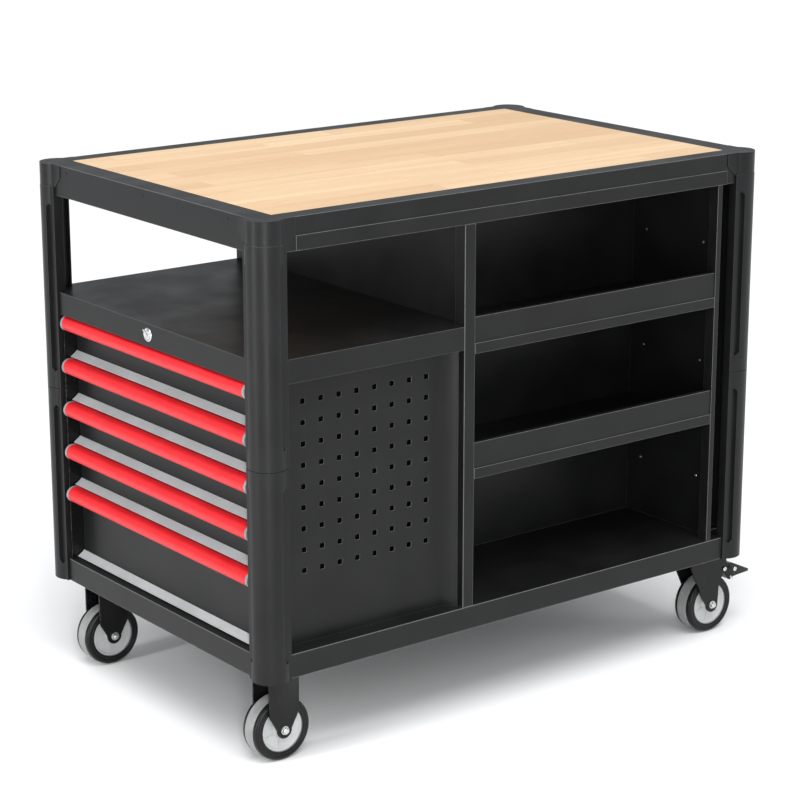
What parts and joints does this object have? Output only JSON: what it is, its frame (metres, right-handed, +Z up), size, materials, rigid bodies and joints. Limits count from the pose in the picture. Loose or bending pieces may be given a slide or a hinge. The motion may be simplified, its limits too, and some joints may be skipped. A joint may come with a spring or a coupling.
{
  "type": "mobile workbench with drawers",
  "caption": "Mobile steel workbench with a wooden worktop, drawers at one end, an open tray, a perforated side panel, a shelf bay and braked swivel casters.",
  "frame": {"origin": "centre of the overall box in plan, on the floor under the casters", "axes": "+X from the drawer end to the far end, -Y towards the side with the perforated panel and the shelf bay, +Z up"},
  "size_m": [1.0856, 0.6532, 0.862],
  "materials": {
    "coating": "charcoal-black fine-texture powder coat, satin",
    "dark_steel": "black enamelled pressed steel, half gloss",
    "beech": "light laminated hardwood staves, clear lacquer",
    "red_grip": "bright red satin plastic grip",
    "grey_plastic": "light grey moulded plastic",
    "bright_steel": "bright zinc-plated steel",
    "tyre": "black rubber tyre with a worn lighter tread"
  },
  "bodies": {
    "bench": {"worktop_board": "beech", "top_frame": "coating", "corner_cap_front_left": "coating", "corner_cap_front_right": "coating", "corner_cap_rear_right": "coating", "corner_cap_rear_left": "coating", "post_upper_front_left": "coating", "post_upper_front_right": "coating", "post_upper_rear_right": "coating", "post_upper_rear_left": "coating", "post_lower_front_left": "coating", "post_lower_front_right": "coating", "post_lower_rear_right": "coating", "post_lower_rear_left": "coating", "base_tray": "coating", "cabinet_top": "coating", "perforated_panel": "coating", "rear_panel": "coating", "divider_wall": "coating", "column_front": "coating", "column_rear": "coating", "shelf_upper": "coating", "shelf_middle": "coating", "bay_back": "coating", "bay_side": "coating", "end_panel": "coating", "slide_rack_front": "dark_steel", "slide_rack_rear": "dark_steel", "fixed_fork_front": "dark_steel", "swivel_plate_front": "dark_steel", "fixed_axle_front": "bright_steel", "fixed_fork_rear": "dark_steel", "swivel_plate_rear": "dark_steel", "fixed_axle_rear": "bright_steel"},
    "drawer_1": {"drawer_box_1": "coating", "drawer_handle_1": "red_grip"},
    "drawer_2": {"drawer_box_2": "coating", "drawer_handle_2": "red_grip"},
    "drawer_3": {"drawer_box_3": "coating", "drawer_handle_3": "red_grip"},
    "drawer_4": {"drawer_box_4": "coating", "drawer_handle_4": "red_grip"},
    "drawer_5": {"drawer_box_5": "coating", "drawer_handle_5": "red_grip", "drawer_front_5": "coating"},
    "lock": {"lock_plug": "bright_steel"},
    "fixed_wheel_front": {"fixed_hub_front": "grey_plastic", "fixed_tyre_front": "tyre"},
    "swivel_front": {"swivel_fork_front": "dark_steel", "swivel_axle_front": "bright_steel"},
    "swivel_wheel_front": {"swivel_hub_front": "grey_plastic", "swivel_tyre_front": "tyre"},
    "brake_front": {"brake_pedal_front": "dark_steel"},
    "fixed_wheel_rear": {"fixed_hub_rear": "grey_plastic", "fixed_tyre_rear": "tyre"},
    "swivel_rear": {"swivel_fork_rear": "dark_steel", "swivel_axle_rear": "bright_steel"},
    "swivel_wheel_rear": {"swivel_hub_rear": "grey_plastic", "swivel_tyre_rear": "tyre"},
    "brake_rear": {"brake_pedal_rear": "dark_steel"}
  },
  "joints": [
    {"name": "drawer_1_slide", "type": "slide", "parent": "bench", "child": "drawer_1", "axis": [-1, 0, 0], "range_m": [0, 0.3]},
    {"name": "drawer_2_slide", "type": "slide", "parent": "bench", "child": "drawer_2", "axis": [-1, 0, 0], "range_m": [0, 0.3]},
    {"name": "drawer_3_slide", "type": "slide", "parent": "bench", "child": "drawer_3", "axis": [-1, 0, 0], "range_m": [0, 0.3]},
    {"name": "drawer_4_slide", "type": "slide", "parent": "bench", "child": "drawer_4", "axis": [-1, 0, 0], "range_m": [0, 0.3]},
    {"name": "drawer_5_slide", "type": "slide", "parent": "bench", "child": "drawer_5", "axis": [-1, 0, 0], "range_m": [0, 0.3]},
    {"name": "lock_turn", "type": "hinge", "parent": "bench", "child": "lock", "pos_m": [-0.5322, 0, 0.633], "axis": [-1, 0, 0], "range_deg": [0, 90]},
    {"name": "fixed_wheel_front_roll", "type": "hinge", "parent": "bench", "child": "fixed_wheel_front", "pos_m": [-0.4752, -0.253, 0.051], "axis": [0, 1, 0], "continuous": true},
    {"name": "swivel_front_turn", "type": "hinge", "parent": "bench", "child": "swivel_front", "pos_m": [0.4088, -0.253, 0.134], "axis": [0, 0, 1], "continuous": true},
    {"name": "swivel_wheel_front_roll", "type": "hinge", "parent": "swivel_front", "child": "swivel_wheel_front", "pos_m": [0.4398, -0.253, 0.051], "axis": [0, 1, 0], "continuous": true},
    {"name": "brake_front_press", "type": "hinge", "parent": "swivel_front", "child": "brake_front", "pos_m": [0.4668, -0.253, 0.112], "axis": [0, 1, 0], "range_deg": [0, 11]},
    {"name": "fixed_wheel_rear_roll", "type": "hinge", "parent": "bench", "child": "fixed_wheel_rear", "pos_m": [-0.4752, 0.253, 0.051], "axis": [0, 1, 0], "continuous": true},
    {"name": "swivel_rear_turn", "type": "hinge", "parent": "bench", "child": "swivel_rear", "pos_m": [0.4088, 0.253, 0.134], "axis": [0, 0, 1], "continuous": true},
    {"name": "swivel_wheel_rear_roll", "type": "hinge", "parent": "swivel_rear", "child": "swivel_wheel_rear", "pos_m": [0.4398, 0.253, 0.051], "axis": [0, 1, 0], "continuous": true},
    {"name": "brake_rear_press", "type": "hinge", "parent": "swivel_rear", "child": "brake_rear", "pos_m": [0.4668, 0.253, 0.112], "axis": [0, 1, 0], "range_deg": [0, 11]}
  ]
}
